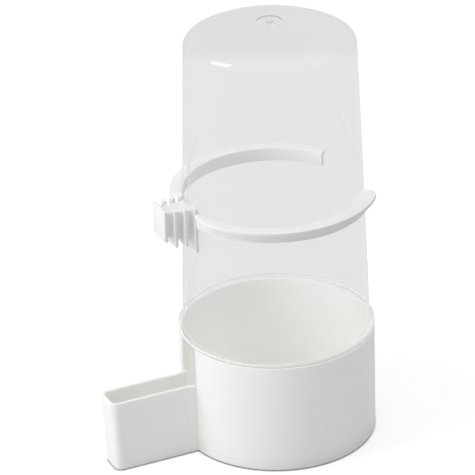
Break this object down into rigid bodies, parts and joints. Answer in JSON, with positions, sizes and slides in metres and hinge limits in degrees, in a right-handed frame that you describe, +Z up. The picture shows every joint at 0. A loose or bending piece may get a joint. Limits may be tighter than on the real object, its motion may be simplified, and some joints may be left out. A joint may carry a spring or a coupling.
{
  "type": "bird water fountain",
  "caption": "Gravity-fed drinker: a clear domed tank stands mouth down in a white cup with a narrow drinking trough, and a clip ring on the tank wedges its comb between cage bars.",
  "frame": {"origin": "on the cup's axis, in the plane of the flat underside that the fountain stands on", "axes": "+Z up along the tank's axis; the trough and the comb point along -Y; +X completes a right-handed frame"},
  "size_m": [0.069, 0.0962, 0.1488],
  "materials": {
    "white_plastic": "satin moulded off-white",
    "clear_plastic": "clear, slightly grey, polished",
    "ring_plastic": "satin moulded white"
  },
  "bodies": {
    "cup": {"base_cup": "white_plastic"},
    "tank": {"water_tank": "clear_plastic"},
    "ring": {"clip_ring": "ring_plastic"}
  },
  "joints": [
    {"name": "tank_lift", "type": "slide", "parent": "cup", "child": "tank", "axis": [0, 0, 1], "range_m": [0, 0.035]},
    {"name": "ring_lift", "type": "slide", "parent": "tank", "child": "ring", "axis": [0, 0, 1], "range_m": [0, 0.08]}
  ]
}
